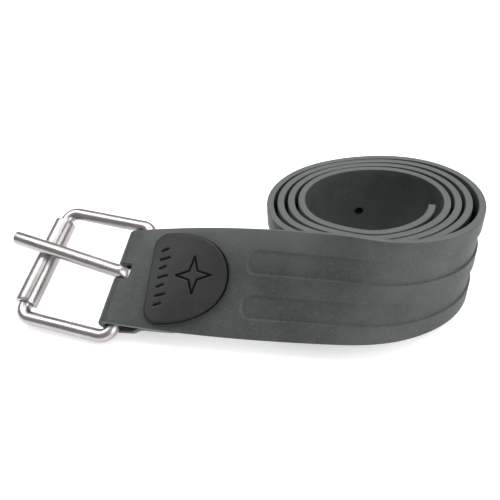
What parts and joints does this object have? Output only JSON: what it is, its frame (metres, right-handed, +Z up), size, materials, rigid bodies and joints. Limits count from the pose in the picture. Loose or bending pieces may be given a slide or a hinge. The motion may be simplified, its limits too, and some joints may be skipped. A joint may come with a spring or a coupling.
{
  "type": "dive weight belt",
  "caption": "Rubber weight belt rolled up on its edge, with a roller buckle in the folded end, a moulded badge and adjusting holes near the tail.",
  "frame": {"origin": "on the floor under the centre of the coil, which is the axis of the hollow in its middle", "axes": "+X along the straight stretch from the buckle towards the coil, +Y from the badge side to the back, +Z up along the coil's axis"},
  "size_m": [0.2201, 0.1258, 0.0583],
  "materials": {
    "strap_rubber": "matt moulded rubber, dark grey",
    "badge_rubber": "smooth moulded rubber, near black",
    "steel": "polished stainless steel"
  },
  "bodies": {
    "belt": {"strap": "strap_rubber", "badge": "badge_rubber", "rivet_upper": "steel", "rivet_lower": "steel"},
    "frame": {"buckle_frame": "steel"},
    "prong": {"prong": "steel"},
    "roller": {"roller": "steel"}
  },
  "joints": [
    {"name": "buckle_hinge", "type": "hinge", "parent": "belt", "child": "frame", "pos_m": [-0.10792, -0.0516, 0.0161], "axis": [0.0041, 0.9126, 0.4089], "range_deg": [-85, 3]},
    {"name": "prong_hinge", "type": "hinge", "parent": "frame", "child": "prong", "pos_m": [-0.10792, -0.0516, 0.0161], "axis": [0.0041, 0.9126, 0.4089], "range_deg": [0, 18]},
    {"name": "roller_spin", "type": "hinge", "parent": "frame", "child": "roller", "pos_m": [-0.15687, -0.05233, 0.01821], "axis": [0.0041, 0.9126, 0.4089], "continuous": true}
  ]
}
